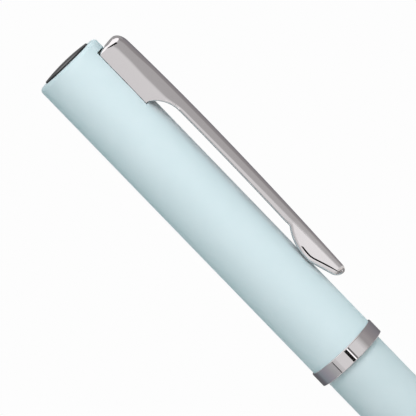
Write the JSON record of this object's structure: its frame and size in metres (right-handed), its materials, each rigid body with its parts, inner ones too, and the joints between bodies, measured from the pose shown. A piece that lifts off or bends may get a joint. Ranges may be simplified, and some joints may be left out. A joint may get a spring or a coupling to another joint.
{
  "type": "highlighter",
  "caption": "Slim metal-cased highlighter with a pull-off cap, a sprung pocket clip, a polished lip ring and a refillable felt chisel nib.",
  "frame": {"origin": "centre of the tail's flat end face, on the pen's axis", "axes": "+Z along the pen's axis from the tail to the cap's top, +X out through the middle of the clip, +Y by the right-hand rule"},
  "size_m": [0.0157, 0.012, 0.1364],
  "materials": {
    "shell": "pale blue lacquer, fine matt",
    "polished_metal": "mirror polished",
    "gloss_black": "moulded, glossy black",
    "brass": "turned",
    "spring_steel": "drawn and bright",
    "liner_plastic": "moulded, natural white",
    "refill_sleeve": "extruded, translucent",
    "ink_fibre": "ink-soaked fibre bundle",
    "ink_felt": "pressed felt, fluorescent yellow",
    "seal_rubber": "moulded"
  },
  "bodies": {
    "barrel": {"barrel_tube": "shell", "barrel_thread_bush": "brass", "tail_plug": "liner_plastic", "tail_disc": "gloss_black"},
    "refill": {"barrel_spring": "spring_steel", "refill_tube": "refill_sleeve", "refill_end_plug": "liner_plastic", "fibre_core": "ink_fibre", "nib_holder": "liner_plastic", "felt_nib": "ink_felt"},
    "section": {"section_sleeve": "brass", "section_ring": "polished_metal", "section_grip": "gloss_black", "seal_ring": "seal_rubber"},
    "snap_ring": {"snap_ring": "spring_steel"},
    "cap": {"cap_tube": "shell", "lip_ring": "polished_metal", "inner_cap": "liner_plastic", "cap_plug": "liner_plastic", "cap_jewel": "gloss_black", "clip_bracket": "spring_steel", "clip_pin": "spring_steel", "clip_spring": "spring_steel"},
    "clip": {"clip": "polished_metal"}
  },
  "joints": [
    {"name": "section_rise", "type": "slide", "parent": "barrel", "child": "refill", "axis": [0, 0, 1], "range_m": [0, 0.003], "deforming": ["barrel_spring"]},
    {"name": "section_turn", "type": "hinge", "parent": "refill", "child": "section", "pos_m": [0, 0, 0.07], "axis": [0, 0, 1], "range_deg": [0, 1440.1]},
    {"name": "cap_turn", "type": "hinge", "parent": "section", "child": "snap_ring", "pos_m": [0, 0, 0.0775], "axis": [0, 0, 1], "continuous": true},
    {"name": "cap_pull", "type": "slide", "parent": "snap_ring", "child": "cap", "axis": [0, 0, 1], "range_m": [0, 0.042]},
    {"name": "clip_hinge", "type": "hinge", "parent": "cap", "child": "clip", "pos_m": [0.0042, 0, 0.12875], "axis": [0, -1, 0], "range_deg": [0, 5], "stiffness_Nm_per_rad": 0.6, "springref_deg": -4.58}
  ],
  "couplings": [
    {"joint": "section_turn", "follows": "section_rise", "rad_per_m": 8377.6}
  ]
}
